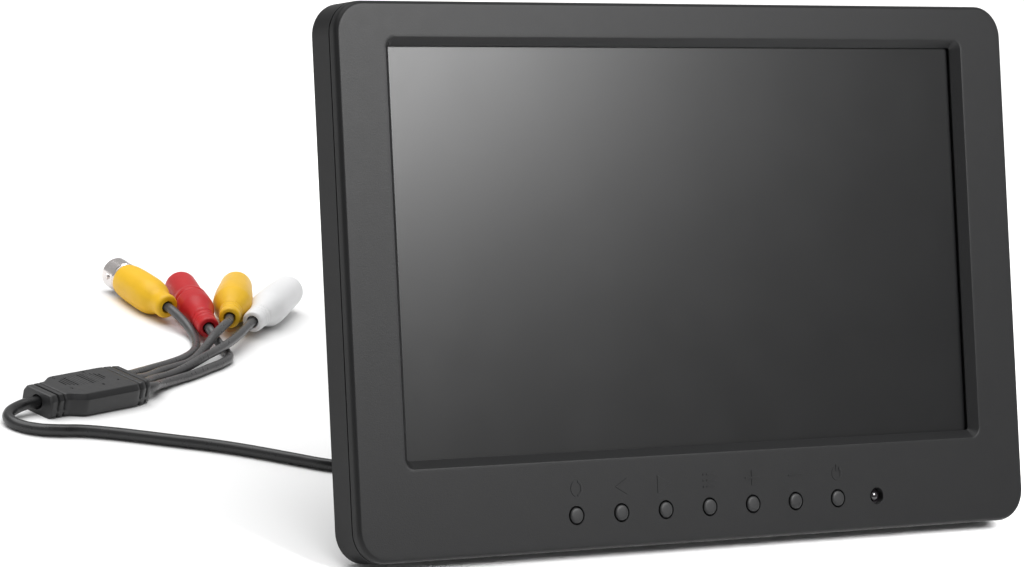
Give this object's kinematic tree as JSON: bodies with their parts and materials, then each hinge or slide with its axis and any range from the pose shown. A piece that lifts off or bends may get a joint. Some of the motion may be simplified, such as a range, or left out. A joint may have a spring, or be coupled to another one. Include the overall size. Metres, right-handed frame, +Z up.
{
  "type": "vehicle monitor with harness",
  "caption": "Wide flat vehicle monitor leaning back on a rear leg, with a row of push buttons and a short cable that splits into coaxial and phono sockets.",
  "frame": {"origin": "on the surface it stands on, under the middle of the monitor and its leg, without the harness", "axes": "+X along the width of the monitor, to the right as a person looks at the screen; +Z up; the screen faces -Y and leans back 22 degrees"},
  "size_m": [0.2764, 0.2284, 0.1437],
  "materials": {
    "case": "fine matt grain",
    "button": "satin",
    "screen": "satin anti-glare film",
    "metal_frame": "brushed",
    "backlight": "satin",
    "foam": "matt",
    "circuit_board": "solder mask",
    "chip": "matt",
    "capacitor": "gloss",
    "header": "satin",
    "flex": "satin",
    "lens": "gloss",
    "cone": "paper",
    "screw": "black zinc",
    "steel": "polished",
    "brass": "knurled",
    "nylon": "satin",
    "rubber": "matt",
    "cable": "satin",
    "block": "satin",
    "lead": "satin",
    "yellow": "satin",
    "red": "satin",
    "white": "satin",
    "nickel": "nickel plate",
    "gold": "gold plate",
    "insulator": "satin",
    "black_insulator": "satin"
  },
  "bodies": {
    "monitor": {"front_bezel": "case", "rear_cover": "case", "lcd_glass": "screen", "lcd_frame": "metal_frame", "backlight_unit": "backlight", "foam_gasket": "foam", "main_board": "circuit_board", "board_chips": "chip", "board_capacitors": "capacitor", "harness_header": "header", "lcd_flex": "flex", "button_board": "circuit_board", "button_flex": "flex", "tact_switches": "steel", "ir_lens": "lens", "ir_receiver": "chip", "speaker_frame": "chip", "speaker_cone": "cone", "case_screws": "screw", "board_screws": "steel", "mount_inserts": "brass", "hinge_bracket": "case", "hinge_pin": "steel", "hinge_washers": "nylon", "cable_gland": "rubber", "inner_lead": "cable", "main_cable": "cable", "splitter_block": "block", "lead_bnc": "lead", "lead_yellow": "lead", "lead_white": "lead", "lead_red": "lead", "bnc_overmould": "yellow", "bnc_shell": "nickel", "bnc_insulator": "insulator", "bnc_contact": "gold", "yellow_overmould": "yellow", "yellow_shell": "nickel", "yellow_insulator": "black_insulator", "yellow_contact": "gold", "white_overmould": "white", "white_shell": "nickel", "white_insulator": "black_insulator", "white_contact": "gold", "red_overmould": "red", "red_shell": "nickel", "red_insulator": "black_insulator", "red_contact": "gold"},
    "leg": {"kickstand": "case", "kickstand_pad": "rubber"},
    "key_source": {"button_source": "button"},
    "key_left": {"button_left": "button"},
    "key_right": {"button_right": "button"},
    "key_menu": {"button_menu": "button"},
    "key_plus": {"button_plus": "button"},
    "key_minus": {"button_minus": "button"},
    "key_power": {"button_power": "button"}
  },
  "joints": [
    {"name": "leg_hinge", "type": "hinge", "parent": "monitor", "child": "leg", "pos_m": [0, 0.01934, 0.08062], "axis": [1, 0, 0], "range_deg": [-39, 0]},
    {"name": "press_source", "type": "slide", "parent": "monitor", "child": "key_source", "axis": [0, 0.9272, -0.3746], "range_m": [0, 0.0006], "stiffness_N_per_m": 200, "springref_m": -0.001},
    {"name": "press_left", "type": "slide", "parent": "monitor", "child": "key_left", "axis": [0, 0.9272, -0.3746], "range_m": [0, 0.0006], "stiffness_N_per_m": 200, "springref_m": -0.001},
    {"name": "press_right", "type": "slide", "parent": "monitor", "child": "key_right", "axis": [0, 0.9272, -0.3746], "range_m": [0, 0.0006], "stiffness_N_per_m": 200, "springref_m": -0.001},
    {"name": "press_menu", "type": "slide", "parent": "monitor", "child": "key_menu", "axis": [0, 0.9272, -0.3746], "range_m": [0, 0.0006], "stiffness_N_per_m": 200, "springref_m": -0.001},
    {"name": "press_plus", "type": "slide", "parent": "monitor", "child": "key_plus", "axis": [0, 0.9272, -0.3746], "range_m": [0, 0.0006], "stiffness_N_per_m": 200, "springref_m": -0.001},
    {"name": "press_minus", "type": "slide", "parent": "monitor", "child": "key_minus", "axis": [0, 0.9272, -0.3746], "range_m": [0, 0.0006], "stiffness_N_per_m": 200, "springref_m": -0.001},
    {"name": "press_power", "type": "slide", "parent": "monitor", "child": "key_power", "axis": [0, 0.9272, -0.3746], "range_m": [0, 0.0006], "stiffness_N_per_m": 200, "springref_m": -0.001}
  ]
}
